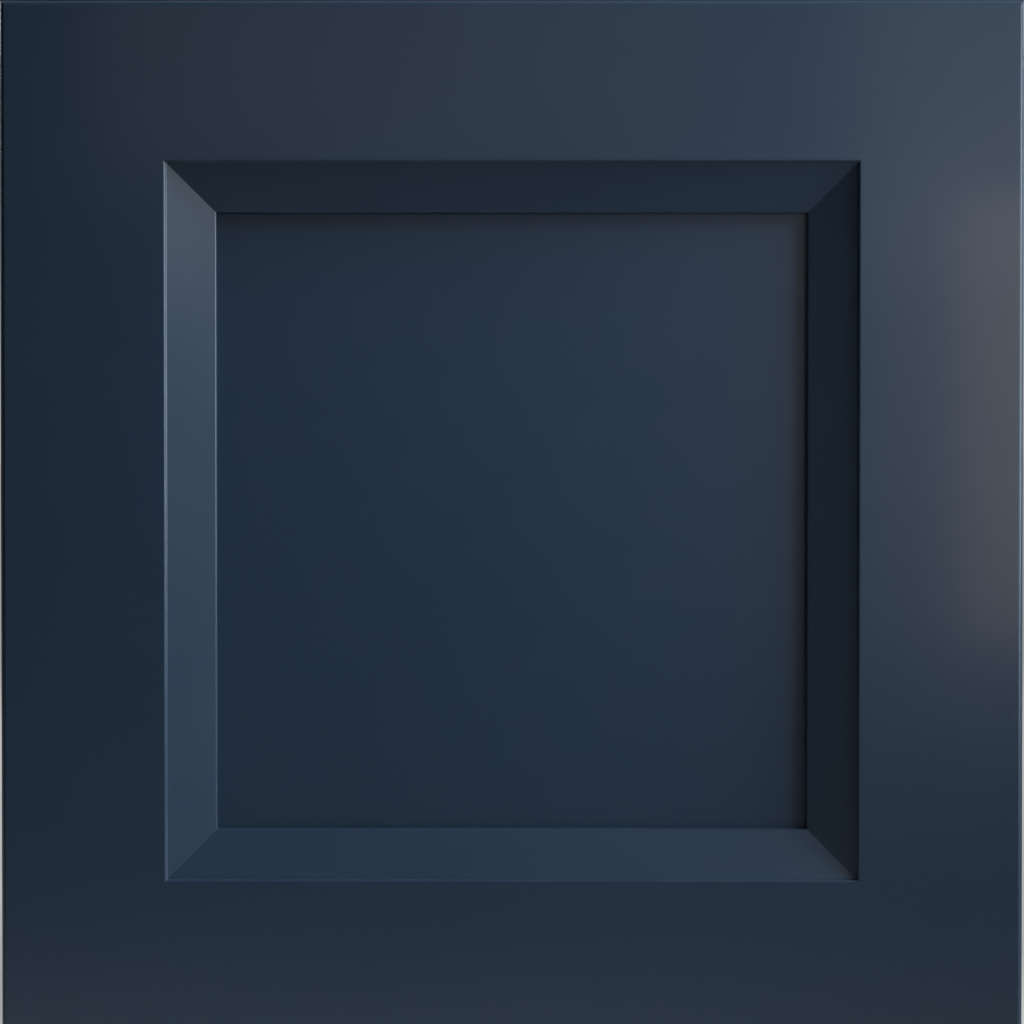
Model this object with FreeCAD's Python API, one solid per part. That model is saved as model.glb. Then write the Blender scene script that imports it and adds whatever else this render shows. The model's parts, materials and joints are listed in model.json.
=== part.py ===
import FreeCAD, Part
import math
import os

# Wall-hung bathroom vanity cabinet, frameless, with one full-overlay five-piece door
# on two concealed cup hinges and a push-to-open latch.  All sizes are millimetres.
# Frame: +X to the right seen from the front, +Z up, the front faces -Y.
# Origin: bottom centre of the closed cabinet's overall box.

INCH = 25.4

# ---------------------------------------------------------------- driving dimensions
CAB_W = 15.0 * INCH
CAB_H = 15.25 * INCH
BOX_D = 12.0 * INCH
DOOR_W = 14.75 * INCH
DOOR_H = 15.0 * INCH
DOOR_T = 0.75 * INCH
DOOR_GAP = 2.0

# carcass boards
PLY_T = 15.0
SKIN_T = 3.0
BAND_T = 1.0
BACK_T = 6.0
RAIL_T = 18.0
FRONT_RAIL_T = 15.0
DADO = 5.0
TOP_RAIL_H = 90.0
LOW_RAIL_H = 75.0
FRONT_RAIL_H = 50.0
PIPE_HOLE_W = 190.0
PIPE_HOLE_H = 164.0
PIPE_HOLE_R = 14.0
PIPE_HOLE_LIFT = 20.0
WALL_HOLE_R = 3.25
WALL_HOLE_SPACING = 8.0 * INCH
BLOCK_LEG = 50.0
BLOCK_T = 18.0
BLOCK_LIP = 12.0
BLOCK_HOLE_R = 2.5
BLOCK_HOLE_OFFSET = 18.0

# shelf
SHELF_T = 15.0
SHELF_PIN_R = 2.5
SHELF_PIN_DEPTH = 9.0
SHELF_HOLE_DEPTH = 11.0
SHELF_HOLE_PITCH = 32.0
SHELF_HOLE_COUNT = 6
SHELF_HOLE_FIRST_Z = 110.0
SHELF_ROW_INSET = 37.0
SHELF_HOLE_USED = 1
SHELF_SIDE_GAP = 1.0
SHELF_SETBACK = 24.0
SHELF_NOTCH_W = 132.0
SHELF_NOTCH_D = 112.0
SHELF_NOTCH_R = 20.0
PIN_TAB_W = 12.0
PIN_TAB_L = 9.0
PIN_TAB_T = 2.5
PIN_COLLAR_T = 1.2
PIN_COLLAR_H = 12.0

# five-piece door
STILE_W = 2.375 * INCH
RAIL_W = 2.3125 * INCH
FACE_EDGE_R = 1.5
INNER_EDGE_R = 0.9
GROOVE_D = 9.5
PANEL_T = 5.0
PANEL_PLAY = 1.0
MOULD_W = 18.0
MOULD_STEP_OUT = 1.6
MOULD_COVE_R = 0.7
MOULD_DROP = 6.6
MOULD_STEP_IN = 3.0
MOULD_EDGE_R = 0.8
BUMPER_R = 4.0
BUMPER_T = 1.0
BUMPER_INSET_Z = 22.0
BUMPER_SHIFT_X = 1.5

# concealed hinges: every X is measured into the cabinet from the side panel's inner
# face, and every Y to the back from the box's front plane
HINGE_INSET = 80.0
CUP_EDGE = 22.5
CUP_R = 17.5
CUP_WALL = 0.8
CUP_DEPTH = 12.3
CUP_BORE_DEPTH = 12.5
CUP_SCREW_X = 9.5
CUP_SCREW_Z = 24.0
EAR_X = (3.5, 15.5)
EAR_Z = (10.0, 30.0)
EAR_T = 1.0
EAR_R = 5.0
CHEEK_R = 2.0
CHEEK_T = 2.0
OUTER_ARM_PIVOT = (25.31, 5.53)
OUTER_CUP_PIVOT = (-3.61, -5.25)
INNER_ARM_PIVOT = (14.86, -8.62)
INNER_CUP_PIVOT = (-2.26, -8.40)
PIN_R = 1.0
PIN_RUN = 0.05
OPEN_PIVOT_R = 2.0
OUTER_LINK_HALF_W = 1.9
OUTER_EYE_R = 2.1
INNER_LINK_HALF_W = 1.8
INNER_EYE_R = 3.0
INNER_ARM_EYE_R = 2.6
OUTER_BEND_TURN = -17.0
OUTER_BEND_REACH = 6.0
INNER_BEND_TURN = -12.0
INNER_BEND_REACH = 8.5
OUTER_STUB_Z = 5.8
OUTER_STUB_PLAY = 0.3
ARM_PIN_END = 0.5
NOSE_HALF_W = 2.8
NOSE_HALF_Z = 5.5
NOSE_SLOT_PLAY = 0.8
NOSE_SLOT_HALF_Z = 3.3
INNER_LINK_HALF_Z = 3.0
OUTER_LINK_Z = (6.0, 8.0)
ARM_Y = (14.0, 62.0)
ARM_HALF_Z = 10.0
ARM_WALL = 1.5
ARM_X = (4.0, 10.6)
ARM_WEB_X = 9.0
SHOULDER = (ARM_X[1] + 1.4, ARM_Y[0] + 8.0)
CLAMP_SCREW_Y = 52.0
ADJUSTING_SCREW_Y = 34.0
PLATE_T = 2.0
PLATE_RIB_HALF_Z = 8.0
PLATE_RIB_Y = (20.0, 60.0)
PLATE_SCREW_Y = 37.0
PLATE_SCREW_Z = 16.0
WING_HALF_Y = 8.0
WING_HALF_Z = 25.0
WING_R = 5.0

# push-to-open latch
LATCH_Z = 300.0
LATCH_BARREL_R = 6.5
LATCH_BORE_R = 4.0
LATCH_FOOT_T = 3.0
LATCH_LENGTH = 62.0
LATCH_SINK = 1.0
LATCH_SETBACK = 0.5
LATCH_FOOT_INSET = 12.0
LATCH_FOOT_HALF_Z = 18.0
LATCH_FOOT_R = 6.0
LATCH_RIB_HALF_Z = 4.0
LATCH_BACK_WALL = 3.0
LATCH_SCREW_Z = 12.5
PLUNGER_R = 3.95
PLUNGER_LENGTH = 40.0
MAGNET_R = 3.85
MAGNET_T = 2.5
MAGNET_EDGE_R = 0.4
STRIKE_R = 8.0
STRIKE_T = 1.0

# screws: length, shank radius, head radius, head height
CASE_SCREW = (45.0, 2.0, 4.2, 3.4)
PLATE_SCREW = (13.0, 2.2, 3.8, 1.6)
CLAMP_SCREW = (7.0, 2.0, 3.4, 1.4)
ADJUSTING_SCREW = (5.0, 2.0, 3.4, 1.4)
CUP_SCREW = (12.0, 1.7, 3.2, 1.4)
LATCH_SCREW = (13.0, 1.7, 3.2, 1.5)
STRIKE_SCREW = (12.0, 1.5, 2.8, 0.9)
CASE_SCREW_INSET = 20.0
FRONT_RAIL_SCREW_INSET = 12.0
# the cross recess, as shares of the head's height and radius, and the head's round rim
RECESS_DEPTH = 0.7
RECESS_LENGTH = 1.1
RECESS_WIDTH = 0.28
HEAD_ROUNDING = 0.45

# clearance round a screw or shelf pin, how far a cutter runs past a face, and the
# smallest length that counts
SCREW_PLAY = 0.05
PAST = 1.0
TINY = 1e-6

# ---------------------------------------------------------------- derived positions
HALF_W = CAB_W / 2
INNER_X = HALF_W - SKIN_T - PLY_T
PLY_OUT_X = HALF_W - SKIN_T
DEPTH = BOX_D + DOOR_GAP + DOOR_T
BACK_Y = DEPTH / 2
BOX_FRONT_Y = BACK_Y - BOX_D
PLY_FRONT_Y = BOX_FRONT_Y + BAND_T
RAIL_FRONT_Y = BACK_Y - RAIL_T
BACK_FRONT_Y = RAIL_FRONT_Y - BACK_T
FLOOR_Z = SKIN_T + PLY_T
DOOR_FACE_Y = -DEPTH / 2
DOOR_BACK_Y = DOOR_FACE_Y + DOOR_T
DOOR_X = DOOR_W / 2
DOOR_Z0 = (CAB_H - DOOR_H) / 2
DOOR_Z1 = DOOR_Z0 + DOOR_H
OPEN_X = DOOR_X - STILE_W
OPEN_Z0 = DOOR_Z0 + RAIL_W
OPEN_Z1 = DOOR_Z1 - RAIL_W
CENTRE_Z = (OPEN_Z0 + OPEN_Z1) / 2
PANEL_Y0 = DOOR_FACE_Y + MOULD_STEP_OUT + MOULD_DROP + MOULD_STEP_IN
PANEL_Y1 = PANEL_Y0 + PANEL_T
PIPE_Z0 = FLOOR_Z + LOW_RAIL_H + PIPE_HOLE_LIFT
PIPE_Z1 = PIPE_Z0 + PIPE_HOLE_H
TOP_HOLE_Z = CAB_H - TOP_RAIL_H / 2
LOW_HOLE_Z = FLOOR_Z + LOW_RAIL_H / 2
HINGE_Z = {"lower": DOOR_Z0 + HINGE_INSET, "upper": DOOR_Z1 - HINGE_INSET}
CUP_X = -DOOR_X + CUP_EDGE
SHELF_PIN_Z = SHELF_HOLE_FIRST_Z + SHELF_HOLE_USED * SHELF_HOLE_PITCH
SHELF_Z0 = SHELF_PIN_Z + SHELF_PIN_R
SHELF_FRONT_Y = BOX_FRONT_Y + SHELF_SETBACK
SHELF_BACK_Y = BACK_FRONT_Y - SHELF_SIDE_GAP
SHELF_ROWS_Y = (BOX_FRONT_Y + SHELF_ROW_INSET, BACK_FRONT_Y - SHELF_ROW_INSET)
LATCH_X = INNER_X - LATCH_FOOT_T - LATCH_BARREL_R + LATCH_SINK


# ---------------------------------------------------------------- shape helpers
def vec(x, y, z):
    return FreeCAD.Vector(x, y, z)


def block(x, y, z):
    """A box from three (low, high) pairs."""
    return Part.makeBox(x[1] - x[0], y[1] - y[0], z[1] - z[0], vec(x[0], y[0], z[0]))


def rod(radius, start, end):
    """A round bar between two points."""
    axis = vec(*end) - vec(*start)
    return Part.makeCylinder(radius, axis.Length, vec(*start), axis)


def prism(points, direction):
    """A closed outline of 3-D points, extruded."""
    corners = [vec(*p) for p in points]
    wire = Part.makePolygon(corners + corners[:1])
    return Part.Face(wire).extrude(vec(*direction))


def fuse_all(shapes):
    whole = shapes[0]
    for shape in shapes[1:]:
        whole = whole.fuse(shape)
    return whole.removeSplitter()


def cut_all(shape, cutters):
    for cutter in cutters:
        shape = shape.cut(cutter)
    return shape


def rounded_slab(x, z, y, radius):
    """A slab in the XZ plane with round corners, y thick."""
    slab = block(x, y, z)
    corners = [e for e in slab.Edges if abs(e.BoundBox.YLength - (y[1] - y[0])) < TINY]
    return slab.makeFillet(radius, corners)


def save(name, shapes):
    """One piece, or one group of separate solids, in one file."""
    pieces = shapes if isinstance(shapes, list) else [shapes]
    solids = [solid for piece in pieces for solid in piece.Solids]
    for solid in solids:
        if not solid.isValid() or solid.Volume <= 0:
            print("BAD SOLID in", name)
    whole = solids[0] if len(solids) == 1 else Part.makeCompound(solids)
    whole.exportStep("parts/%s.step" % name)
    print("%-22s %2d solid(s) %12.1f mm3" % (name, len(solids), whole.Volume))


# ---------------------------------------------------------------- screws
class Screw:
    """A screw with a round head: seat is the middle of the head's underside."""

    def __init__(self, seat, direction, size, sunk=False):
        self.seat = vec(*seat)
        self.direction = vec(*direction)
        self.length, self.shank_r, self.head_r, self.head_h = size
        self.sunk = sunk

    def body(self):
        shank = Part.makeCylinder(self.shank_r, self.length, self.seat, self.direction)
        if self.sunk:
            head = Part.makeCone(self.head_r, self.shank_r, self.head_h, self.seat, self.direction)
            slot_base = self.seat
        else:
            top = self.seat - self.direction * self.head_h
            head = Part.makeCylinder(self.head_r, self.head_h, top, self.direction)
            rim = [e for e in head.Edges if e.BoundBox.Center.distanceToPoint(top) < 1000 * TINY]
            head = head.makeFillet(self.head_h * HEAD_ROUNDING, rim[:1])
            slot_base = top
        return shank.fuse(head).removeSplitter().cut(self.drive(slot_base))

    def drive(self, base):
        """The cross recess in the head."""
        depth = self.head_h * RECESS_DEPTH
        wide, thin = self.head_r * RECESS_LENGTH, self.head_r * RECESS_WIDTH
        turn = FreeCAD.Rotation(vec(0, 0, 1), self.direction)
        arms = []
        for length, width in ((wide, thin), (thin, wide)):
            arm = Part.makeBox(length, width, depth * 2, vec(-length / 2, -width / 2, -depth))
            arm.Placement = FreeCAD.Placement(base, turn)
            arms.append(arm)
        return arms[0].fuse(arms[1])

    def hole(self):
        """The hole the screw sits in."""
        play = SCREW_PLAY
        start = self.seat - self.direction * play
        hole = Part.makeCylinder(self.shank_r + play, self.length + 2 * play, start, self.direction)
        if self.sunk:
            cone = Part.makeCone(self.head_r + play, self.shank_r + play, self.head_h + play,
                                 self.seat, self.direction)
            hole = hole.fuse(cone)
        return hole


def case_screw(side, y, z):
    """A countersunk screw through a side panel into the end of a board."""
    return Screw((side * PLY_OUT_X, y, z), (-side, 0, 0), CASE_SCREW, sunk=True)


def case_screw_places():
    """(y, z) of each screw on one side, by the board it holds."""
    low_z = SKIN_T + PLY_T / 2
    rail_y = BACK_Y - RAIL_T / 2
    front_y = BOX_FRONT_Y + FRONT_RAIL_T / 2
    inset = CASE_SCREW_INSET
    near = FRONT_RAIL_SCREW_INSET
    return {
        "bottom_panel": [(y, low_z) for y in (PLY_FRONT_Y + 2 * inset, 0.0, RAIL_FRONT_Y - 2 * inset)],
        "hanging_rail_top": [(rail_y, CAB_H - inset), (rail_y, CAB_H - TOP_RAIL_H + inset)],
        "hanging_rail_bottom": [(rail_y, FLOOR_Z + inset), (rail_y, FLOOR_Z + LOW_RAIL_H - inset)],
        "front_rail": [(front_y, CAB_H - near), (front_y, CAB_H - FRONT_RAIL_H + near)],
    }


def case_screws(board):
    return [case_screw(side, y, z) for side in (-1, 1) for y, z in case_screw_places()[board]]


def plate_screws():
    """The screws that hold the hinges' mounting plates on the left side panel."""
    return [Screw((-INNER_X + PLATE_T, BOX_FRONT_Y + PLATE_SCREW_Y, z + dz), (-1, 0, 0), PLATE_SCREW)
            for z in HINGE_Z.values() for dz in (-PLATE_SCREW_Z, PLATE_SCREW_Z)]


def latch_screws():
    """The screws that hold the latch on the right side panel."""
    x, y = INNER_X - LATCH_FOOT_T, BOX_FRONT_Y + LATCH_LENGTH / 2
    return [Screw((x, y, LATCH_Z + dz), (1, 0, 0), LATCH_SCREW) for dz in (-LATCH_SCREW_Z, LATCH_SCREW_Z)]


def cup_screws():
    """The screws that hold the hinge cups in the door's left stile."""
    x = CUP_X + CUP_SCREW_X
    return [Screw((x, DOOR_BACK_Y + EAR_T, z + dz), (0, -1, 0), CUP_SCREW)
            for z in HINGE_Z.values() for dz in (-CUP_SCREW_Z, CUP_SCREW_Z)]


def strike_screw():
    return Screw((LATCH_X, DOOR_BACK_Y + STRIKE_T, LATCH_Z), (0, -1, 0), STRIKE_SCREW, sunk=True)


# ---------------------------------------------------------------- carcass
def shelf_hole_centres():
    return [(y, SHELF_HOLE_FIRST_Z + i * SHELF_HOLE_PITCH)
            for y in SHELF_ROWS_Y for i in range(SHELF_HOLE_COUNT)]


def side_panel(side):
    """A plywood side with a dado for the bottom, a groove for the back and shelf holes."""
    x_in, x_out = side * INNER_X, side * PLY_OUT_X
    x_dado = side * (INNER_X + DADO)
    panel = block(sorted((x_in, x_out)), (PLY_FRONT_Y, BACK_Y), (0, CAB_H))
    cutters = [
        block(sorted((x_in, x_dado)), (PLY_FRONT_Y, BACK_Y), (SKIN_T, FLOOR_Z)),
        block(sorted((x_in, x_dado)), (BACK_FRONT_Y, RAIL_FRONT_Y), (FLOOR_Z - DADO, CAB_H)),
    ]
    for y, z in shelf_hole_centres():
        cutters.append(rod(SHELF_PIN_R + SCREW_PLAY, (side * (INNER_X - PAST), y, z),
                           (side * (INNER_X + SHELF_HOLE_DEPTH), y, z)))
    for board in case_screw_places():
        cutters += [screw.hole() for screw in case_screws(board) if screw.seat.x * side > 0]
    cutters += [screw.hole() for screw in (plate_screws() if side < 0 else latch_screws())]
    return cut_all(panel, cutters)


def finished_end(side):
    """The thin painted panel glued on the outside of a side."""
    return block(sorted((side * PLY_OUT_X, side * HALF_W)), (PLY_FRONT_Y, BACK_Y), (0, CAB_H))


def edge_band(side):
    return block(sorted((side * INNER_X, side * HALF_W)), (BOX_FRONT_Y, PLY_FRONT_Y), (0, CAB_H))


def bottom_panel():
    panel = block((-INNER_X - DADO, INNER_X + DADO), (PLY_FRONT_Y, BACK_Y), (SKIN_T, FLOOR_Z))
    groove = block((-HALF_W, HALF_W), (BACK_FRONT_Y, RAIL_FRONT_Y), (FLOOR_Z - DADO, FLOOR_Z))
    return cut_all(panel, [groove] + [s.hole() for s in case_screws("bottom_panel")])


def finished_underside():
    return block((-INNER_X, INNER_X), (PLY_FRONT_Y, BACK_Y), (0, SKIN_T))


def edge_band_bottom():
    return block((-INNER_X, INNER_X), (BOX_FRONT_Y, PLY_FRONT_Y), (0, FLOOR_Z))


def wall_hole_cutters(z):
    """Clearance holes for the wall screws, through the rail and the back."""
    return [rod(WALL_HOLE_R, (x, BACK_FRONT_Y - PAST, z), (x, BACK_Y + PAST, z))
            for x in (-WALL_HOLE_SPACING / 2, WALL_HOLE_SPACING / 2)]


def back_panel():
    """The thin back in its grooves, with the opening for the supply and waste pipes."""
    x = INNER_X + DADO
    panel = block((-x, x), (BACK_FRONT_Y, RAIL_FRONT_Y), (FLOOR_Z - DADO, CAB_H))
    half = PIPE_HOLE_W / 2
    through = (BACK_FRONT_Y - PAST, RAIL_FRONT_Y + PAST)
    opening = rounded_slab((-half, half), (PIPE_Z0, PIPE_Z1), through, PIPE_HOLE_R)
    return cut_all(panel, [opening] + wall_hole_cutters(TOP_HOLE_Z) + wall_hole_cutters(LOW_HOLE_Z))


def hanging_rail(name, z, hole_z):
    rail = block((-INNER_X, INNER_X), (RAIL_FRONT_Y, BACK_Y), z)
    return cut_all(rail, wall_hole_cutters(hole_z) + [s.hole() for s in case_screws(name)])


def front_rail():
    y = (BOX_FRONT_Y, BOX_FRONT_Y + FRONT_RAIL_T)
    rail = block((-INNER_X, INNER_X), y, (CAB_H - FRONT_RAIL_H, CAB_H))
    return cut_all(rail, [s.hole() for s in case_screws("front_rail")])


def corner_block(side, front):
    """A three-cornered block that stiffens a top corner and takes a screw up into the top."""
    x0 = side * INNER_X
    y0 = BOX_FRONT_Y + FRONT_RAIL_T if front else BACK_FRONT_Y
    sx, sy = -side, (1 if front else -1)
    outline = [(0, 0), (BLOCK_LEG, 0), (BLOCK_LEG, BLOCK_LIP), (BLOCK_LIP, BLOCK_LEG), (0, BLOCK_LEG)]
    points = [(x0 + sx * a, y0 + sy * b, CAB_H - BLOCK_T) for a, b in outline]
    body = prism(points, (0, 0, BLOCK_T))
    cx, cy = x0 + sx * BLOCK_HOLE_OFFSET, y0 + sy * BLOCK_HOLE_OFFSET
    return body.cut(rod(BLOCK_HOLE_R, (cx, cy, CAB_H - BLOCK_T - PAST), (cx, cy, CAB_H + PAST)))


def shelf():
    """The loose shelf, notched at the back to pass the trap."""
    x = INNER_X - SHELF_SIDE_GAP
    board = block((-x, x), (SHELF_FRONT_Y + BAND_T, SHELF_BACK_Y), (SHELF_Z0, SHELF_Z0 + SHELF_T))
    half = SHELF_NOTCH_W / 2
    notch_y = (SHELF_BACK_Y - SHELF_NOTCH_D, SHELF_BACK_Y + SHELF_NOTCH_R)
    notch = block((-half, half), notch_y, (SHELF_Z0 - PAST, SHELF_Z0 + SHELF_T + PAST))
    upright = [e for e in notch.Edges if e.BoundBox.ZLength > SHELF_T and e.BoundBox.YMax < SHELF_BACK_Y]
    return board.cut(notch.makeFillet(SHELF_NOTCH_R, upright))


def shelf_edge_band():
    x = INNER_X - SHELF_SIDE_GAP
    return block((-x, x), (SHELF_FRONT_Y, SHELF_FRONT_Y + BAND_T), (SHELF_Z0, SHELF_Z0 + SHELF_T))


def shelf_pins():
    """Four pins in the side holes, each with a flat tab under the shelf."""
    pins = []
    for side in (-1, 1):
        for y in SHELF_ROWS_Y:
            x_wall = side * INNER_X
            x_tip = x_wall - side * PIN_TAB_L
            tab_y = (y - PIN_TAB_W / 2, y + PIN_TAB_W / 2)
            collar_x = sorted((x_wall, x_wall - side * PIN_COLLAR_T))
            x_end = x_wall + side * SHELF_PIN_DEPTH
            stem = rod(SHELF_PIN_R, (x_tip, y, SHELF_PIN_Z), (x_end, y, SHELF_PIN_Z))
            tab = block(sorted((x_wall, x_tip)), tab_y, (SHELF_Z0 - PIN_TAB_T, SHELF_Z0))
            collar = block(collar_x, tab_y, (SHELF_Z0 - PIN_COLLAR_H, SHELF_Z0))
            pins.append(fuse_all([stem, tab, collar]))
    return pins


# ---------------------------------------------------------------- door
def face_edges(shape, half_x, z0, z1):
    """The edges in the door's face that lie on a rectangle's outline."""
    found = []
    for edge in shape.Edges:
        middle = edge.BoundBox.Center
        in_face = edge.BoundBox.YLength < TINY and abs(middle.y - DOOR_FACE_Y) < TINY
        upright = abs(abs(middle.x) - half_x) < TINY
        level = min(abs(middle.z - z0), abs(middle.z - z1)) < TINY
        if in_face and (upright or level):
            found.append(edge)
    return found


def door_frame_blank():
    """The frame before it is split into stiles and rails: outer and inner front edges eased."""
    outer = block((-DOOR_X, DOOR_X), (DOOR_FACE_Y, DOOR_BACK_Y), (DOOR_Z0, DOOR_Z1))
    opening = block((-OPEN_X, OPEN_X), (DOOR_FACE_Y - PAST, DOOR_BACK_Y + PAST), (OPEN_Z0, OPEN_Z1))
    frame = outer.cut(opening)
    frame = frame.makeFillet(INNER_EDGE_R, face_edges(frame, OPEN_X, OPEN_Z0, OPEN_Z1))
    return frame.makeFillet(FACE_EDGE_R, face_edges(frame, DOOR_X, DOOR_Z0, DOOR_Z1))


def stile(side, blank):
    """An upright of the frame, grooved along its inner edge for the panel and the tenons."""
    x_whole = sorted((side * OPEN_X, side * DOOR_X))
    x_groove = sorted((side * (OPEN_X - PAST), side * (OPEN_X + GROOVE_D)))
    half = blank.common(block(x_whole, (DOOR_FACE_Y, DOOR_BACK_Y), (DOOR_Z0, DOOR_Z1)))
    cutters = [block(x_groove, (PANEL_Y0, PANEL_Y1), (DOOR_Z0 - PAST, DOOR_Z1 + PAST))]
    if side < 0:
        for z in HINGE_Z.values():
            mouth, end = (CUP_X, DOOR_BACK_Y + PAST, z), (CUP_X, DOOR_BACK_Y - CUP_BORE_DEPTH, z)
            cutters.append(rod(CUP_R, mouth, end))
        cutters += [s.hole() for s in cup_screws()]
    else:
        cutters.append(strike_screw().hole())
    return cut_all(half, cutters)


def rail(top, blank):
    """A cross piece of the frame with a stub tenon at each end."""
    z = (OPEN_Z1, DOOR_Z1) if top else (DOOR_Z0, OPEN_Z0)
    middle = blank.common(block((-OPEN_X, OPEN_X), (DOOR_FACE_Y, DOOR_BACK_Y), z))
    tenons = block((-OPEN_X - GROOVE_D, OPEN_X + GROOVE_D), (PANEL_Y0, PANEL_Y1), z)
    groove_z = (OPEN_Z1 - PAST, OPEN_Z1 + GROOVE_D) if top else (OPEN_Z0 - GROOVE_D, OPEN_Z0 + PAST)
    groove = block((-DOOR_X, DOOR_X), (PANEL_Y0, PANEL_Y1), groove_z)
    return middle.fuse(tenons).removeSplitter().cut(groove)


def door_panel():
    """The flat panel, free to move in the grooves."""
    reach = GROOVE_D - PANEL_PLAY
    x = OPEN_X + reach
    return block((-x, x), (PANEL_Y0, PANEL_Y1), (OPEN_Z0 - reach, OPEN_Z1 + reach))


def moulding(run_half, edge_at, along_x):
    """A sloped moulding on the panel, mitred at both ends.

    The outline is (distance in from the frame's edge, depth behind the door's face).
    A small hollow curve joins the slope to the frame, and the inner edge is eased.
    """
    top_out = MOULD_STEP_OUT
    top_in = MOULD_STEP_OUT + MOULD_DROP
    base = top_in + MOULD_STEP_IN
    slope = math.atan2(MOULD_DROP, MOULD_W)
    half_turn = (math.pi / 2 - slope) / 2
    # the hollow outer edge: an arc tangent to the frame's wall and to the slope
    r = MOULD_COVE_R
    reach = r * math.tan(half_turn)
    cove_top = (0, top_out - reach)
    cove_middle = (r - r * math.cos(half_turn), top_out - reach + r * math.sin(half_turn))
    cove_foot = (reach * math.cos(slope), top_out + reach * math.sin(slope))
    # the eased inner edge: an arc tangent to the slope and to the inner step
    r = MOULD_EDGE_R
    reach = r * math.tan(half_turn)
    edge_top = (MOULD_W - reach * math.cos(slope), top_in - reach * math.sin(slope))
    edge_middle = (MOULD_W - r + r * math.cos(half_turn), top_in + reach - r * math.sin(half_turn))
    edge_foot = (MOULD_W, top_in + reach)

    def place(p, run):
        offset, depth = p
        level = edge_at - math.copysign(offset, edge_at)
        if along_x:
            return vec(run, DOOR_FACE_Y + depth, CENTRE_Z + level)
        return vec(level, DOOR_FACE_Y + depth, CENTRE_Z + run)

    hollow = (cove_top, cove_middle, cove_foot)
    eased = (edge_top, edge_middle, edge_foot)
    outline = hollow + eased + ((MOULD_W, base), (0, base))
    p = [place(q, -run_half) for q in outline]
    edges = [
        Part.Arc(p[0], p[1], p[2]).toShape(),
        Part.LineSegment(p[2], p[3]).toShape(),
        Part.Arc(p[3], p[4], p[5]).toShape(),
        Part.LineSegment(p[5], p[6]).toShape(),
        Part.LineSegment(p[6], p[7]).toShape(),
        Part.LineSegment(p[7], p[0]).toShape(),
    ]
    run = vec(2 * run_half, 0, 0) if along_x else vec(0, 0, 2 * run_half)
    bar = Part.Face(Part.Wire(edges)).extrude(run)
    corners = []
    for offset, end in ((0, -1), (0, 1), (MOULD_W, 1), (MOULD_W, -1)):
        q = place((offset, 0), end * (run_half - offset))
        corners.append((q.x, DOOR_FACE_Y, q.z))
    return bar.common(prism(corners, (0, DOOR_T, 0)))


def mouldings():
    half_x, half_z = OPEN_X, (OPEN_Z1 - OPEN_Z0) / 2
    return {
        "moulding_top": moulding(half_x, half_z, True),
        "moulding_bottom": moulding(half_x, -half_z, True),
        "moulding_left": moulding(half_z, -half_x, False),
        "moulding_right": moulding(half_z, half_x, False),
    }


def door_bumpers():
    """Soft dots on the back of the door's free corners."""
    x = (INNER_X + HALF_W) / 2 - BUMPER_SHIFT_X
    dots = []
    for z in (DOOR_Z0 + BUMPER_INSET_Z, DOOR_Z1 - BUMPER_INSET_Z):
        dot = rod(BUMPER_R, (x, DOOR_BACK_Y, z), (x, DOOR_BACK_Y + BUMPER_T, z))
        rim = [e for e in dot.Edges if abs(e.BoundBox.YMin - (DOOR_BACK_Y + BUMPER_T)) < TINY]
        dots.append(dot.makeFillet(BUMPER_T / 2, rim))
    return dots


# ---------------------------------------------------------------- concealed hinges
def hinge_point(p, z):
    """A hinge drawing's point, in the cabinet's frame."""
    return (-INNER_X + p[0], BOX_FRONT_Y + p[1], z)


def hinge_rod(radius, p, z0, z1):
    return rod(radius, hinge_point(p, z0), hinge_point(p, z1))


def strap(points, half_width, z0, z1):
    """A flat bar of constant width along a chain of points, with round ends and bends."""
    pieces = []
    for a, b in zip(points, points[1:]):
        dx, dy = b[0] - a[0], b[1] - a[1]
        length = math.hypot(dx, dy)
        nx, ny = -dy / length * half_width, dx / length * half_width
        one_side = [(a[0] + nx, a[1] + ny), (b[0] + nx, b[1] + ny)]
        other_side = [(b[0] - nx, b[1] - ny), (a[0] - nx, a[1] - ny)]
        pieces.append(prism([hinge_point(p, z0) for p in one_side + other_side], (0, 0, z1 - z0)))
    for p in points:
        pieces.append(hinge_rod(half_width, p, z0, z1))
    return fuse_all(pieces)


def bend(start, angle_deg, distance):
    """The point at a distance and direction from start: where a link bends."""
    a = math.radians(angle_deg)
    return (start[0] + distance * math.cos(a), start[1] + distance * math.sin(a))


OUTER_BEND = bend(OUTER_CUP_PIVOT, OUTER_BEND_TURN, OUTER_BEND_REACH)
INNER_BEND = bend(INNER_CUP_PIVOT, INNER_BEND_TURN, INNER_BEND_REACH)


def outer_link(z):
    """The long link: two flat plates that straddle the arm's nose."""
    plates = []
    pivots = (OUTER_CUP_PIVOT, OUTER_ARM_PIVOT)
    for sign in (-1, 1):
        z0, z1 = sorted(z + sign * d for d in OUTER_LINK_Z)
        plate = strap([OUTER_CUP_PIVOT, OUTER_BEND, OUTER_ARM_PIVOT], OUTER_LINK_HALF_W, z0, z1)
        eyes = [hinge_rod(OUTER_EYE_R, p, z0, z1) for p in pivots]
        holes = [hinge_rod(PIN_R + PIN_RUN, p, z0 - PAST, z1 + PAST) for p in pivots]
        plates.append(cut_all(fuse_all([plate] + eyes), holes))
    return plates


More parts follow.
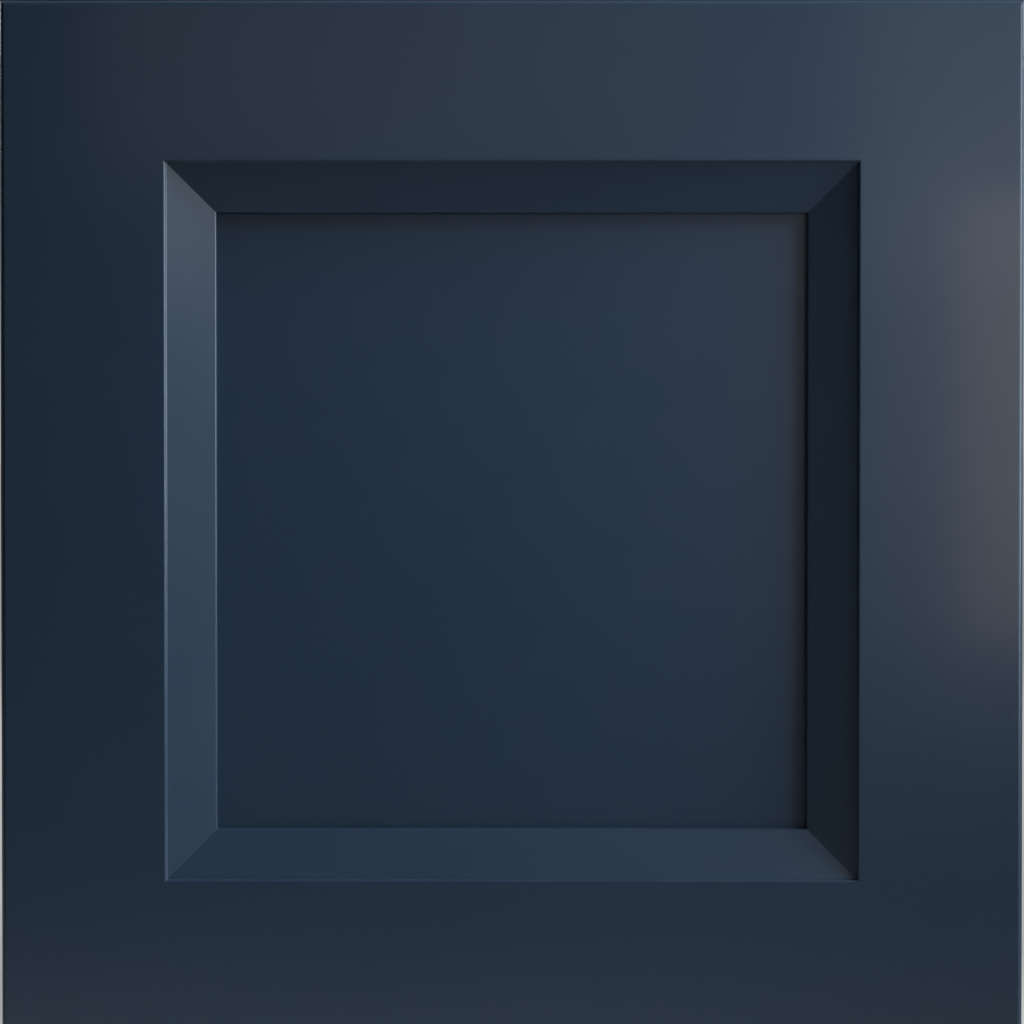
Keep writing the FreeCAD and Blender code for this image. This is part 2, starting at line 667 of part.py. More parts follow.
def inner_link(z):
    """The short link in the middle of the nose.  Its hole in the cup is the wide one."""
    z0, z1 = z - INNER_LINK_HALF_Z, z + INNER_LINK_HALF_Z
    bar = strap([INNER_CUP_PIVOT, INNER_BEND, INNER_ARM_PIVOT], INNER_LINK_HALF_W, z0, z1)
    eyes = [hinge_rod(INNER_EYE_R, INNER_CUP_PIVOT, z0, z1),
            hinge_rod(INNER_ARM_EYE_R, INNER_ARM_PIVOT, z0, z1)]
    holes = [hinge_rod(OPEN_PIVOT_R, INNER_CUP_PIVOT, z0 - PAST, z1 + PAST),
             hinge_rod(PIN_R + PIN_RUN, INNER_ARM_PIVOT, z0 - PAST, z1 + PAST)]
    return cut_all(fuse_all([bar] + eyes), holes)


def hinge_arm(z):
    """The arm: a channel over the mounting plate, and a narrow slotted nose that holds both links."""
    y0, y1 = ARM_Y
    x0, x1 = ARM_X
    web = block((-INNER_X + ARM_WEB_X, -INNER_X + x1), (BOX_FRONT_Y + y0, BOX_FRONT_Y + y1),
                (z - ARM_HALF_Z, z + ARM_HALF_Z))
    walls = [block((-INNER_X + x0, -INNER_X + x1), (BOX_FRONT_Y + y0, BOX_FRONT_Y + y1),
                   sorted((z + s * (ARM_HALF_Z - ARM_WALL), z + s * ARM_HALF_Z))) for s in (-1, 1)]
    nose_line = [INNER_ARM_PIVOT, OUTER_ARM_PIVOT, SHOULDER]
    nose = strap(nose_line, NOSE_HALF_W, z - NOSE_HALF_Z, z + NOSE_HALF_Z)
    slot_r = INNER_EYE_R + NOSE_SLOT_PLAY
    slot = hinge_rod(slot_r, INNER_ARM_PIVOT, z - NOSE_SLOT_HALF_Z, z + NOSE_SLOT_HALF_Z)
    body = fuse_all([web] + walls + [nose]).cut(slot)
    pivots = (OUTER_ARM_PIVOT, INNER_ARM_PIVOT)
    holes = [hinge_rod(PIN_R, p, z - ARM_HALF_Z, z + ARM_HALF_Z) for p in pivots]
    holes += [s.hole() for s in arm_screws() if abs(s.seat.z - z) < PAST]
    return cut_all(body, holes)


def arm_screws():
    """One clamping screw and one adjusting screw on each arm."""
    return [Screw((-INNER_X + ARM_X[1], BOX_FRONT_Y + y, z), (-1, 0, 0), size)
            for z in HINGE_Z.values()
            for y, size in ((CLAMP_SCREW_Y, CLAMP_SCREW), (ADJUSTING_SCREW_Y, ADJUSTING_SCREW))]


def arm_pins(z):
    """The two pivot pins in the arm's nose."""
    reach = OUTER_LINK_Z[1] + ARM_PIN_END
    return [hinge_rod(PIN_R, OUTER_ARM_PIVOT, z - reach, z + reach),
            hinge_rod(PIN_R, INNER_ARM_PIVOT, z - NOSE_HALF_Z, z + NOSE_HALF_Z)]


def mounting_plate(z):
    """The plate screwed on the side panel: two wings and a raised rib under the arm."""
    middle_y = BOX_FRONT_Y + PLATE_SCREW_Y
    wings = block((-INNER_X, -INNER_X + PLATE_T), (middle_y - WING_HALF_Y, middle_y + WING_HALF_Y),
                  (z - WING_HALF_Z, z + WING_HALF_Z))
    upright = [e for e in wings.Edges if abs(e.BoundBox.XLength - PLATE_T) < TINY]
    wings = wings.makeFillet(WING_R, upright)
    rib_y = [BOX_FRONT_Y + y for y in PLATE_RIB_Y]
    rib = block((-INNER_X, -INNER_X + ARM_WEB_X), rib_y, (z - PLATE_RIB_HALF_Z, z + PLATE_RIB_HALF_Z))
    holes = [s.hole() for s in plate_screws() + arm_screws() if abs(s.seat.z - z) < WING_HALF_Z]
    return cut_all(fuse_all([wings, rib]), holes)


def hinge_cup(z):
    """The cup in the door, with two ears for its screws and two cheeks for the short link's pin."""
    floor_y = DOOR_BACK_Y - CUP_DEPTH
    bowl = rod(CUP_R, (CUP_X, DOOR_BACK_Y, z), (CUP_X, floor_y, z))
    mouth_y = DOOR_BACK_Y + EAR_T
    inside = rod(CUP_R - CUP_WALL, (CUP_X, mouth_y + PAST, z), (CUP_X, floor_y + CUP_WALL, z))
    ears = []
    for sign in (-1, 1):
        root_z, end_z = z + sign * EAR_Z[0], z + sign * EAR_Z[1]
        ear = block((CUP_X + EAR_X[0], CUP_X + EAR_X[1]), (DOOR_BACK_Y, mouth_y), sorted((root_z, end_z)))
        short = [e for e in ear.Edges if abs(e.BoundBox.YLength - EAR_T) < TINY]
        ears.append(ear.makeFillet(EAR_R, [e for e in short if abs(e.BoundBox.ZMin - end_z) < TINY]))
    bowl = fuse_all([bowl] + ears).cut(inside)
    cheeks = []
    px, py, _ = hinge_point(INNER_CUP_PIVOT, z)
    for sign in (-1, 1):
        z0, z1 = sorted((z + sign * NOSE_SLOT_HALF_Z, z + sign * (NOSE_SLOT_HALF_Z + CHEEK_T)))
        foot = block((px - CHEEK_R, px + CHEEK_R), (floor_y, py), (z0, z1))
        cheeks.append(foot.fuse(rod(CHEEK_R, (px, py, z0), (px, py, z1))))
    cup = fuse_all([bowl] + cheeks)
    reach = NOSE_SLOT_HALF_Z + CHEEK_T
    pin_holes = [rod(PIN_R, (px, py, z - reach), (px, py, z + reach))]
    qx, qy, _ = hinge_point(OUTER_CUP_PIVOT, z)
    pin_holes.append(rod(PIN_R, (qx, qy, z - CUP_R), (qx, qy, z + CUP_R)))
    return cut_all(cup, pin_holes + [s.hole() for s in cup_screws() if abs(s.seat.z - z) < EAR_Z[1]])


def cup_pins(z):
    """One through pin for the short link and two stub pins for the long link's plates."""
    px, py, _ = hinge_point(INNER_CUP_PIVOT, z)
    qx, qy, _ = hinge_point(OUTER_CUP_PIVOT, z)
    reach = NOSE_SLOT_HALF_Z + CHEEK_T
    through = rod(PIN_R, (px, py, z - reach), (px, py, z + reach))
    chord = math.sqrt((CUP_R - OUTER_STUB_PLAY) ** 2 - (abs(qx - CUP_X) + PIN_R) ** 2)
    stubs = [rod(PIN_R, (qx, qy, z + s * OUTER_STUB_Z), (qx, qy, z + s * chord)) for s in (-1, 1)]
    return [through] + stubs


# ---------------------------------------------------------------- push-to-open latch
def latch_housing():
    """A foot screwed on the side panel and a barrel, closed at the back, for the plunger."""
    y0 = BOX_FRONT_Y + LATCH_SETBACK
    y1 = y0 + LATCH_LENGTH
    foot = block((INNER_X - LATCH_FOOT_T, INNER_X), (y0 + LATCH_FOOT_INSET, y1 - LATCH_FOOT_INSET),
                 (LATCH_Z - LATCH_FOOT_HALF_Z, LATCH_Z + LATCH_FOOT_HALF_Z))
    corners = [e for e in foot.Edges if abs(e.BoundBox.XLength - LATCH_FOOT_T) < TINY]
    foot = foot.makeFillet(LATCH_FOOT_R, corners)
    barrel = rod(LATCH_BARREL_R, (LATCH_X, y0, LATCH_Z), (LATCH_X, y1, LATCH_Z))
    rib = block((LATCH_X, INNER_X), (y0, y1), (LATCH_Z - LATCH_RIB_HALF_Z, LATCH_Z + LATCH_RIB_HALF_Z))
    bore = rod(LATCH_BORE_R, (LATCH_X, y0 - PAST, LATCH_Z), (LATCH_X, y1 - LATCH_BACK_WALL, LATCH_Z))
    return cut_all(fuse_all([foot, barrel, rib]), [bore] + [s.hole() for s in latch_screws()])


def latch_plunger():
    """The sliding rod; its front end is level with the box's front."""
    y0 = BOX_FRONT_Y + MAGNET_T
    return rod(PLUNGER_R, (LATCH_X, y0, LATCH_Z), (LATCH_X, y0 + PLUNGER_LENGTH, LATCH_Z))


def latch_magnet():
    """The magnet on the plunger's front end."""
    tip = rod(MAGNET_R, (LATCH_X, BOX_FRONT_Y, LATCH_Z), (LATCH_X, BOX_FRONT_Y + MAGNET_T, LATCH_Z))
    rim = [e for e in tip.Edges if abs(e.BoundBox.YMax - BOX_FRONT_Y) < TINY]
    return tip.makeFillet(MAGNET_EDGE_R, rim)


def strike_plate():
    """The steel disc on the door that the magnet holds."""
    disc = rod(STRIKE_R, (LATCH_X, DOOR_BACK_Y, LATCH_Z), (LATCH_X, DOOR_BACK_Y + STRIKE_T, LATCH_Z))
    return disc.cut(strike_screw().hole())


# ---------------------------------------------------------------- all pieces
def main():
    os.makedirs("parts", exist_ok=True)

    for word, side in (("left", -1), ("right", 1)):
        save("side_panel_" + word, side_panel(side))
        save("finished_end_" + word, finished_end(side))
        save("edge_band_" + word, edge_band(side))
        save("corner_block_front_" + word, corner_block(side, True))
        save("corner_block_rear_" + word, corner_block(side, False))
    save("bottom_panel", bottom_panel())
    save("finished_underside", finished_underside())
    save("edge_band_bottom", edge_band_bottom())
    save("back_panel", back_panel())
    rails = {
        "hanging_rail_top": ((CAB_H - TOP_RAIL_H, CAB_H), TOP_HOLE_Z),
        "hanging_rail_bottom": ((FLOOR_Z, FLOOR_Z + LOW_RAIL_H), LOW_HOLE_Z),
    }
    for name, (z, hole_z) in rails.items():
        save(name, hanging_rail(name, z, hole_z))
    save("front_rail", front_rail())
    save("case_screws", [s.body() for board in case_screw_places() for s in case_screws(board)])
    save("shelf", shelf())
    save("shelf_edge_band", shelf_edge_band())
    save("shelf_pins", shelf_pins())

    blank = door_frame_blank()
    save("stile_left", stile(-1, blank))
    save("stile_right", stile(1, blank))
    save("rail_top", rail(True, blank))
    save("rail_bottom", rail(False, blank))
    save("door_panel", door_panel())
    for name, shape in mouldings().items():
        save(name, shape)
    save("door_bumpers", door_bumpers())

    for word, z in HINGE_Z.items():
        save("mounting_plate_" + word, mounting_plate(z))
        save("hinge_arm_" + word, hinge_arm(z))
        save("arm_pins_" + word, arm_pins(z))
        save("outer_link_" + word, outer_link(z))
        save("inner_link_" + word, inner_link(z))
        save("hinge_cup_" + word, hinge_cup(z))
        save("cup_pins_" + word, cup_pins(z))
    save("plate_screws", [s.body() for s in plate_screws()])
    save("arm_screws", [s.body() for s in arm_screws()])
    save("cup_screws", [s.body() for s in cup_screws()])

    save("latch_housing", latch_housing())
    save("latch_screws", [s.body() for s in latch_screws()])
    save("latch_plunger", latch_plunger())
    save("latch_magnet", latch_magnet())
    save("strike_plate", strike_plate())
    save("strike_screw", strike_screw().body())


main()
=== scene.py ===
import json
import math

import bpy
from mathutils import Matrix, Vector


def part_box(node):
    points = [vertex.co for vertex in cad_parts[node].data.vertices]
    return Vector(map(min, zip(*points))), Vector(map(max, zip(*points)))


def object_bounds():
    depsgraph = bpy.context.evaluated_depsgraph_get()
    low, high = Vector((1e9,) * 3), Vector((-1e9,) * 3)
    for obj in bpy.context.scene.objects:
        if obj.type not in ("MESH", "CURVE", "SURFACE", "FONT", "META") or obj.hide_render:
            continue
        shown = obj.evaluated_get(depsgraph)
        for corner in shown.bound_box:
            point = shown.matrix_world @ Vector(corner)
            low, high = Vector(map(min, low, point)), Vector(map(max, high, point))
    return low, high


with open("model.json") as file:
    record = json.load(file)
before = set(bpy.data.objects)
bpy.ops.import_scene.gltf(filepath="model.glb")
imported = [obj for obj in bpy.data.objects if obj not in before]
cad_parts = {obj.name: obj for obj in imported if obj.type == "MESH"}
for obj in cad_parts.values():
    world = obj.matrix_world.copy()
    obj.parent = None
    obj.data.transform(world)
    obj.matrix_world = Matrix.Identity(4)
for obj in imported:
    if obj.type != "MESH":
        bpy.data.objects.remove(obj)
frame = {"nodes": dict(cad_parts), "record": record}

# A wall-hung vanity cabinet with one framed, bevel-moulded, handle-less navy door.
# Everything is in metres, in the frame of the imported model: +Z up, the door faces -Y.

MM = 0.001
X, Y, Z = 0, 1, 2
cad_low, cad_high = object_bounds()
nodes = frame["nodes"]

# Noise seldom leaves the middle of 0 to 1. These are the bands of it that get stretched.
MOST = (0.3, 0.7)
MIDDLE = (0.35, 0.65)


# ---------------------------------------------------------------- node helpers
class Nodes:
    """One material's node tree, with short ways to add and join nodes.

    Scales are in cells per metre.
    """

    FACING = 0.7     # a surface faces an axis when that part of its normal is over this

    def __init__(self, name):
        self.material = bpy.data.materials.new(name)
        self.material.use_nodes = True
        self.tree = self.material.node_tree
        self.shader = self.tree.nodes["Principled BSDF"]
        coordinates = self.add("ShaderNodeTexCoord")
        self.coords = coordinates.outputs["Object"]
        self.normal = coordinates.outputs["Normal"]

    def add(self, kind, **settings):
        node = self.tree.nodes.new(kind)
        for key, value in settings.items():
            setattr(node, key, value)
        return node

    def join(self, socket, value):
        """Links an output to a socket, or sets the socket to a plain value."""
        if isinstance(value, bpy.types.NodeSocket):
            self.tree.links.new(value, socket)
        else:
            socket.default_value = value

    def math(self, operation, a, b=0.0):
        node = self.add("ShaderNodeMath", operation=operation)
        self.join(node.inputs[0], a)
        self.join(node.inputs[1], b)
        return node.outputs[0]

    def noise(self, scale, detail=2.0, rough=0.5, warp=0.0, source=None):
        node = self.add("ShaderNodeTexNoise")
        self.join(node.inputs["Vector"], source or self.coords)
        numbers = {"Scale": scale, "Detail": detail, "Roughness": rough, "Distortion": warp}
        for key, value in numbers.items():
            node.inputs[key].default_value = value
        return node.outputs["Fac"]

    def streaks(self, grain, along, across, detail, rough=0.5, warp=0.0):
        """Noise drawn out along one axis, with different scales along and across it."""
        scale = [across, across, across]
        scale[grain] = along
        stretch = self.add("ShaderNodeMapping")
        self.join(stretch.inputs["Vector"], self.coords)
        stretch.inputs["Scale"].default_value = scale
        return self.noise(1.0, detail, rough, warp, stretch.outputs[0])

    def range(self, value, band, to=(0.0, 1.0)):
        """Stretches band, a low and a high number, to another low and high number."""
        node = self.add("ShaderNodeMapRange")
        self.join(node.inputs["Value"], value)
        for key, number in zip(("From Min", "From Max", "To Min", "To Max"), (*band, *to)):
            node.inputs[key].default_value = number
        return node.outputs[0]

    def blend(self, factor, a, b):
        node = self.add("ShaderNodeMix", data_type="RGBA")
        self.join(node.inputs["Factor"], factor)
        for key, color in (("A", a), ("B", b)):
            plain = not isinstance(color, bpy.types.NodeSocket)
            self.join(node.inputs[key], (*color, 1.0) if plain else color)
        return node.outputs["Result"]

    def axis(self, index, source=None):
        node = self.add("ShaderNodeSeparateXYZ")
        self.join(node.inputs[0], source or self.coords)
        return node.outputs[index]

    def faces(self, index):
        """1 where the surface faces along an axis, either way."""
        part = self.math("ABSOLUTE", self.axis(index, self.normal))
        return self.math("GREATER_THAN", part, self.FACING)

    def specks(self, scale, radius, share):
        """Sparse round dots: 1 inside a dot. share is the part of the cells that hold one."""
        node = self.add("ShaderNodeTexVoronoi", feature="F1")
        self.join(node.inputs["Vector"], self.coords)
        node.inputs["Scale"].default_value = scale
        dot = self.math("LESS_THAN", node.outputs["Distance"], radius)
        chosen = self.math("GREATER_THAN", self.axis(0, node.outputs["Color"]), 1.0 - share)
        return self.math("MULTIPLY", dot, chosen)

    def bump(self, height, distance, strength, base=None):
        """Relief from a height, on top of base, another relief."""
        node = self.add("ShaderNodeBump")
        self.join(node.inputs["Height"], height)
        node.inputs["Distance"].default_value = distance
        node.inputs["Strength"].default_value = strength
        if base is not None:
            self.join(node.inputs["Normal"], base)
        return node.outputs[0]

    def finish(self, color, rough, relief, **plain):
        """Joins the shader's colour, roughness and normal, and sets its plain sockets."""
        self.join(self.shader.inputs["Base Color"], color)
        self.join(self.shader.inputs["Roughness"], rough)
        self.join(self.shader.inputs["Normal"], relief)
        for key, value in plain.items():
            self.shader.inputs[key.replace("_", " ")].default_value = value
        return self.material


# ---------------------------------------------------------------- materials
NAVY_DEEP = (0.0215, 0.0435, 0.0800)
NAVY_LIGHT = (0.0235, 0.0465, 0.0850)
DUST = (0.23, 0.25, 0.28)
BIRCH_DARK = (0.50, 0.345, 0.195)
BIRCH_MID = (0.66, 0.49, 0.305)
BIRCH_PALE = (0.76, 0.61, 0.42)
GLUE_LINE = (0.20, 0.12, 0.065)
POPLAR_DARK = (0.40, 0.335, 0.19)
POPLAR_PALE = (0.63, 0.54, 0.37)


def navy_lacquer():
    """Sprayed satin lacquer: soft mottling, fine orange peel, a few specks of dust."""
    dust_cover, dust_dulling = 0.55, 0.4
    m = Nodes("navy_satin_lacquer")
    mottle = m.range(m.noise(scale=7.0, detail=3.0, rough=0.55), MOST)
    color = m.blend(mottle, NAVY_DEEP, NAVY_LIGHT)
    dust = m.math("MULTIPLY", m.specks(scale=95.0, radius=0.022, share=0.10), dust_cover)
    color = m.blend(dust, color, DUST)
    rough = m.range(m.noise(scale=60.0, detail=3.0, rough=0.6), MOST, to=(0.37, 0.43))
    rough = m.math("ADD", rough, m.math("MULTIPLY", dust, dust_dulling))
    peel = m.bump(m.noise(scale=620.0, detail=1.5, rough=0.4), 0.012 * MM, strength=0.8)
    sag = m.bump(m.noise(scale=38.0), 0.06 * MM, strength=0.8, base=peel)
    return m.finish(color, rough, sag, Coat_Weight=0.5, Coat_Roughness=0.15)


def face_grain(m, grain, dark, mid, pale):
    """Long soft figure with fine fibres, along one axis: (colour, fibre height)."""
    figure = m.streaks(grain, along=3.2, across=19.0, detail=4.0, rough=0.55, warp=1.6)
    fibres = m.streaks(grain, along=14.0, across=620.0, detail=3.0, rough=0.6, warp=0.2)
    flecks = m.streaks(grain, along=90.0, across=1500.0, detail=1.0)
    color = m.blend(m.range(figure, (0.36, 0.64)), pale, mid)
    color = m.blend(m.range(fibres, (0.52, 0.80), to=(0.0, 0.55)), color, dark)
    color = m.blend(m.range(flecks, (0.66, 0.80), to=(0.0, 0.35)), color, dark)
    return color, fibres


def plywood(name, normal_axis, grain, start, thickness, plies):
    """Birch plywood: figured faces, and layers along the edges from start over thickness."""
    wander, glue_width, edge_rough = 0.25, 0.055, 0.72    # the first two are in layers
    m = Nodes(name)
    face, fibres = face_grain(m, grain, BIRCH_DARK, BIRCH_MID, BIRCH_PALE)

    depth = m.math("SUBTRACT", m.axis(normal_axis), start)
    depth = m.math("MULTIPLY", depth, plies / thickness)
    stray = m.math("SUBTRACT", m.noise(scale=70.0), 0.5)
    depth = m.math("ADD", depth, m.math("MULTIPLY", stray, wander))
    dark_ply = m.math("GREATER_THAN", m.math("PINGPONG", depth, 1.0), 0.5)
    in_ply = m.math("FRACT", m.math("ADD", depth, 0.5))
    glue = m.math("LESS_THAN", m.math("PINGPONG", in_ply, 0.5), glue_width)

    end_grain = m.range(m.noise(scale=1500.0, rough=0.7), MOST)
    light_edge = m.blend(end_grain, BIRCH_MID, BIRCH_PALE)
    dark_edge = m.blend(end_grain, BIRCH_DARK, BIRCH_MID)
    edge = m.blend(glue, m.blend(dark_ply, light_edge, dark_edge), GLUE_LINE)

    on_face = m.faces(normal_axis)
    on_edge = m.math("SUBTRACT", 1.0, on_face)
    color = m.blend(on_face, edge, face)
    face_rough = m.range(fibres, MOST, to=(0.36, 0.50))
    rough = m.math("ADD", m.math("MULTIPLY", on_face, face_rough),
                   m.math("MULTIPLY", on_edge, edge_rough))
    relief = m.bump(fibres, 0.03 * MM, strength=0.7)
    relief = m.bump(m.math("MULTIPLY", glue, -1.0), 0.08 * MM, strength=0.8, base=relief)
    return m.finish(color, rough, relief)


def solid_wood(name, grain, dark, pale, roughness):
    """Planed solid wood with growth rings, along one axis, and darker ends."""
    end_darkening = 0.45
    m = Nodes(name)
    mid = tuple((a + b) / 2 for a, b in zip(dark, pale))
    color, fibres = face_grain(m, grain, dark, mid, pale)
    rings = m.streaks(grain, along=1.6, across=95.0, detail=2.0, warp=0.6)
    color = m.blend(m.range(rings, (0.48, 0.62), to=(0.0, 0.35)), color, dark)
    color = m.blend(m.math("MULTIPLY", m.faces(grain), end_darkening), color, dark)
    rough = m.range(fibres, MOST, to=roughness)
    return m.finish(color, rough, m.bump(fibres, 0.05 * MM, strength=0.8))


def plated_metal(name, bright, dull, roughness, brush=None):
    """Plated steel with a cloudy finish; brush is the axis of fine polishing lines."""
    from_lines, from_cloud = 0.6, 0.4
    m = Nodes(name)
    cloud = m.range(m.noise(scale=160.0, detail=4.0, rough=0.6), MIDDLE)
    color = m.blend(cloud, dull, bright)
    if brush is None:
        lines = m.streaks(X, along=2600.0, across=2600.0, detail=2.0, rough=0.6)
    else:
        lines = m.streaks(brush, along=120.0, across=5200.0, detail=2.0, rough=0.6)
    uneven = m.math("ADD", m.math("MULTIPLY", lines, from_lines),
                    m.math("MULTIPLY", cloud, from_cloud))
    rough = m.range(uneven, MOST, to=roughness)
    relief = m.bump(lines, 0.006 * MM, strength=0.5)
    return m.finish(color, rough, relief, Metallic=1.0)


def moulded_plastic(name, color_a, color_b):
    """Moulded plastic with a spark-eroded texture."""
    m = Nodes(name)
    color = m.blend(m.range(m.noise(scale=40.0, detail=3.0), MIDDLE), color_a, color_b)
    grit = m.noise(scale=2400.0, rough=0.6)
    rough = m.range(grit, MOST, to=(0.48, 0.62))
    return m.finish(color, rough, m.bump(grit, 0.02 * MM, strength=0.8))


def soft_rubber():
    """Cloudy, slightly see-through polyurethane."""
    m = Nodes("clear_rubber")
    cloud = m.range(m.noise(scale=300.0), MOST)
    color = m.blend(cloud, (0.62, 0.63, 0.62), (0.78, 0.78, 0.76))
    rough = m.range(m.noise(scale=900.0, detail=1.0), MOST, to=(0.28, 0.40))
    relief = m.bump(m.noise(scale=700.0), 0.02 * MM, strength=0.5)
    return m.finish(color, rough, relief, Transmission_Weight=0.35, IOR=1.45)


def pale_floor():
    """A pale floor, lifted to the camera only, so that it throws no extra light at the door."""
    lifted_by = 0.28
    m = Nodes("studio_floor")
    cloud = m.range(m.noise(scale=2.2, detail=4.0), MOST)
    color = m.blend(cloud, (0.52, 0.515, 0.505), (0.56, 0.555, 0.545))
    rough = m.range(m.noise(scale=30.0, detail=3.0), MOST, to=(0.62, 0.74))
    seen = m.add("ShaderNodeLightPath").outputs["Is Camera Ray"]
    m.shader.inputs["Emission Color"].default_value = (0.97, 0.99, 1.0, 1.0)
    m.join(m.shader.inputs["Emission Strength"], m.math("MULTIPLY", seen, lifted_by))
    relief = m.bump(m.noise(scale=220.0, detail=3.0), 0.15 * MM, strength=0.5)
    return m.finish(color, rough, relief)


# ---------------------------------------------------------------- what each node is made of
THICK_PLIES, THIN_PLIES = 11, 5
BOARDS = {    # the plywood boards: the axis through each, its face grain's axis, its plies
    "side_panel_left": (X, Z, THICK_PLIES),
    "side_panel_right": (X, Z, THICK_PLIES),
    "bottom_panel": (Z, X, THICK_PLIES),
    "back_panel": (Y, Z, THIN_PLIES),
    "shelf": (Z, X, THICK_PLIES),
}


def board(node):
    """Plywood for one board, with its layers counted over the board's own thickness."""
    normal_axis, grain, plies = BOARDS[node]
    low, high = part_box(node)
    thickness = high[normal_axis] - low[normal_axis]
    return plywood(node + "_birch_ply", normal_axis, grain, low[normal_axis], thickness, plies)


def dress():
    """Gives every node of the model its material."""
    poplar_rail = solid_wood("poplar_rail", X, POPLAR_DARK, POPLAR_PALE, (0.55, 0.70))
    poplar_block = solid_wood("poplar_block", Y, POPLAR_DARK, POPLAR_PALE, (0.58, 0.74))
    by_slot = {
        "navy_paint": navy_lacquer(),
        "birch_band": solid_wood("birch_edge_band", X, BIRCH_DARK, BIRCH_PALE, (0.36, 0.50)),
        "nickel_steel": plated_metal(
            "nickel_plated_steel", (0.66, 0.645, 0.61), (0.55, 0.535, 0.50), (0.20, 0.34)),
        "zinc_screw": plated_metal(
            "zinc_plated_screw", (0.70, 0.69, 0.64), (0.56, 0.55, 0.53), (0.26, 0.42)),
        "bright_steel": plated_metal(
            "bright_steel", (0.74, 0.74, 0.73), (0.62, 0.62, 0.62), (0.16, 0.28), brush=Z),
        "magnet_steel": plated_metal(
            "plated_magnet", (0.48, 0.48, 0.49), (0.34, 0.34, 0.35), (0.22, 0.36)),
        "grey_plastic": moulded_plastic("grey_plastic", (0.36, 0.37, 0.38), (0.41, 0.42, 0.43)),
        "clear_rubber": soft_rubber(),
    }
    for part in frame["record"]["subparts"]:
        name, slot = part["node"], part["material_slot"]
        if name in BOARDS:
            material = board(name)
        elif slot == "poplar":
            material = poplar_rail if name.startswith("hanging_rail") else poplar_block
        else:
            material = by_slot[slot]
        mesh = nodes[name].data
        mesh.materials.clear()
        mesh.materials.append(material)


EASED = {    # the worked edges of the carcass's boards, and of its skins and edge bands
    0.35 * MM: ["side_panel_left", "side_panel_right", "bottom_panel", "back_panel", "shelf",
                "hanging_rail_top", "hanging_rail_bottom", "front_rail",
                "corner_block_front_left", "corner_block_front_right",
                "corner_block_rear_left", "corner_block_rear_right"],
    0.25 * MM: ["finished_end_left", "finished_end_right", "finished_underside",
                "edge_band_left", "edge_band_right", "edge_band_bottom", "shelf_edge_band"],
}


def ease_edges():
    """Takes the sharpness off every edge that turns by more than sharp_angle."""
    same_point, sharp_angle = 0.001 * MM, math.radians(50)
    for width, names in EASED.items():
        for name in names:
            weld = nodes[name].modifiers.new("weld", "WELD")
            weld.merge_threshold = same_point
            bevel = nodes[name].modifiers.new("ease", "BEVEL")
            bevel.width = width
            bevel.segments = 2
            bevel.limit_method = "ANGLE"
            bevel.angle_limit = sharp_angle


# ---------------------------------------------------------------- stage, light and camera
STILES = [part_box(name) for name in ("stile_left", "stile_right")]
DOOR_LOW = [min(low[i] for low, high in STILES) for i in range(3)]
DOOR_HIGH = [max(high[i] for low, high in STILES) for i in range(3)]
DOOR_MIDDLE = Vector((    # of the door's front face
    (DOOR_LOW[X] + DOOR_HIGH[X]) / 2, DOOR_LOW[Y], (DOOR_LOW[Z] + DOOR_HIGH[Z]) / 2))


def studio_floor():
    size, gap = 60.0, 0.1 * MM
    bpy.ops.mesh.primitive_plane_add(size=size, location=(0, 0, cad_low[Z] - gap))
    floor = bpy.context.object
    floor.name = "studio_floor"
    floor.data.materials.append(pale_floor())


def softbox(name, place, size, watts, color, spread=180, aim=(0.0, 0.0)):
    """An area light that looks at the door.

    place is an azimuth, an elevation and a distance from the door's middle: azimuth 0 is in
    front of the door and 90 is on its right.  size is a width and a height, and spread is the
    beam's full angle.  aim is how far the light looks to the right of the door's middle, and
    how far above it.
    """
    azimuth, elevation, distance = place
    data = bpy.data.lights.new(name, "AREA")
    data.shape = "RECTANGLE"
    data.size, data.size_y = size
    data.energy = watts
    data.color = color
    data.spread = math.radians(spread)
    lamp = bpy.data.objects.new(name, data)
    bpy.context.scene.collection.objects.link(lamp)
    turn, rise = math.radians(azimuth), math.radians(elevation)
    towards = Vector((math.sin(turn) * math.cos(rise), -math.cos(turn) * math.cos(rise),
                      math.sin(rise)))
    lamp.location = DOOR_MIDDLE + towards * distance
    look = DOOR_MIDDLE + Vector((aim[0], 0, aim[1])) - lamp.location
    lamp.rotation_euler = look.to_track_quat("-Z", "Y").to_euler()


def lights():
    """A cool window on the right, weak sheens on the door's top and right, soft light behind."""
    window, pale = (0.85, 0.955, 1.0), (0.88, 0.95, 1.0)
    warm, white = (1.0, 0.84, 0.70), (0.98, 0.98, 1.0)
    softbox("key_low", (76, 6, 1.0), (0.3, 0.3), 0.31, window, spread=60, aim=(0, 0.08))
    softbox("key_high", (72, 46, 0.85), (0.3, 0.6), 1.2, window, spread=50, aim=(0, 0.12))
    softbox("fill_right", (58, 11, 0.7), (0.3, 0.5), 0.165, pale, spread=60, aim=(0, 0.08))
    softbox("sheen_high", (27, 20, 0.7), (0.25, 0.25), 0.038, white, spread=60, aim=(0, 0.08))
    softbox("sheen_middle", (45, 6, 0.38), (0.14, 0.2), 0.0155, warm, spread=50,
            aim=(0.16, 0.02))
    softbox("sheen_top", (-5, 19.5, 0.74), (0.35, 0.15), 0.0075, warm, spread=60,
            aim=(0, 0.12))
    softbox("rear_left", (215, 20, 1.9), (0.8, 0.6), 6.0, white)
    softbox("rear_right", (142, 20, 1.9), (0.8, 0.6), 4.5, white)


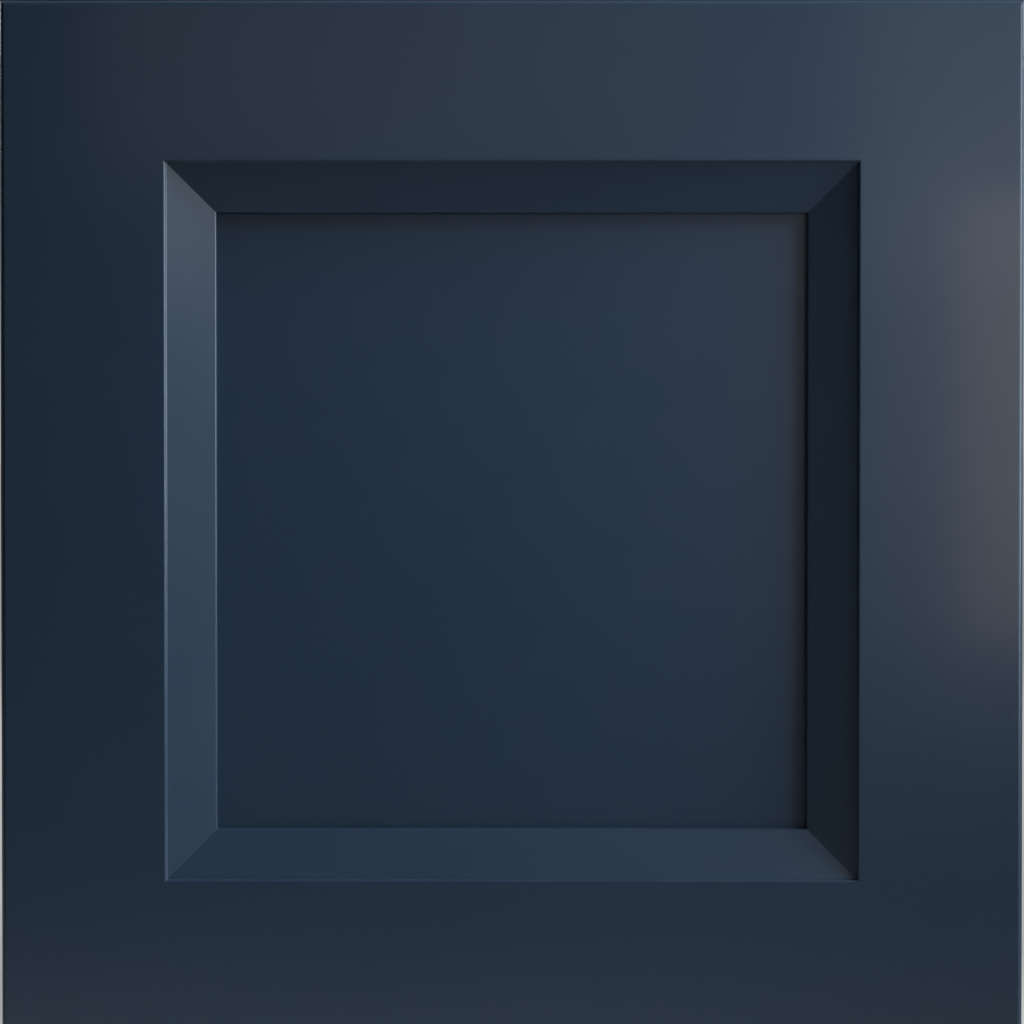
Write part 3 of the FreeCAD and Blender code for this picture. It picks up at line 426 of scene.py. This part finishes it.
def surroundings():
    """A dim room in front of the door, a paler one behind it, and a plain grey backdrop.

    The room lights the object and shows in its gloss; the camera itself sees the backdrop.
    """
    dim, pale, pale_from = 0.008, 0.25, 0.7    # pale_from is a direction's part along +Y
    world = bpy.data.worlds.new("soft_studio")
    bpy.context.scene.world = world
    world.use_nodes = True
    tree = world.node_tree

    room = tree.nodes["Background"]
    room.inputs["Color"].default_value = (0.90, 0.95, 1.0, 1.0)
    direction = tree.nodes.new("ShaderNodeTexCoord").outputs["Generated"]
    parts = tree.nodes.new("ShaderNodeSeparateXYZ")
    ramp = tree.nodes.new("ShaderNodeMapRange")
    ramp.interpolation_type = "SMOOTHSTEP"
    for key, value in (("From Max", pale_from), ("To Min", dim), ("To Max", pale)):
        ramp.inputs[key].default_value = value
    tree.links.new(direction, parts.inputs[0])
    tree.links.new(parts.outputs["Y"], ramp.inputs["Value"])
    tree.links.new(ramp.outputs[0], room.inputs["Strength"])

    backdrop = tree.nodes.new("ShaderNodeBackground")
    backdrop.inputs["Color"].default_value = (0.42, 0.43, 0.44, 1.0)
    seen = tree.nodes.new("ShaderNodeLightPath").outputs["Is Camera Ray"]
    choice = tree.nodes.new("ShaderNodeMixShader")
    tree.links.new(seen, choice.inputs["Fac"])
    tree.links.new(room.outputs[0], choice.inputs[1])
    tree.links.new(backdrop.outputs[0], choice.inputs[2])
    tree.links.new(choice.outputs[0], tree.nodes["World Output"].inputs["Surface"])


def camera():
    """Straight in front of the door, a little above its middle and looking slightly down."""
    distance, pitch = 1.3, math.radians(1.2)
    target = DOOR_MIDDLE + Vector((0, 0, 3.6 * MM))
    seen_width = 375.6 * MM
    data = bpy.data.cameras.new("photo_view")
    data.lens = data.sensor_width * distance / seen_width
    eye = bpy.data.objects.new("photo_view", data)
    bpy.context.scene.collection.objects.link(eye)
    eye.location = target + Vector((0, -distance * math.cos(pitch), distance * math.sin(pitch)))
    eye.rotation_euler = (target - eye.location).to_track_quat("-Z", "Y").to_euler()
    bpy.context.scene.camera = eye


dress()
ease_edges()
studio_floor()
lights()
surroundings()
camera()
bpy.context.scene.view_settings.view_transform = "Standard"    # plain colours, like the photo
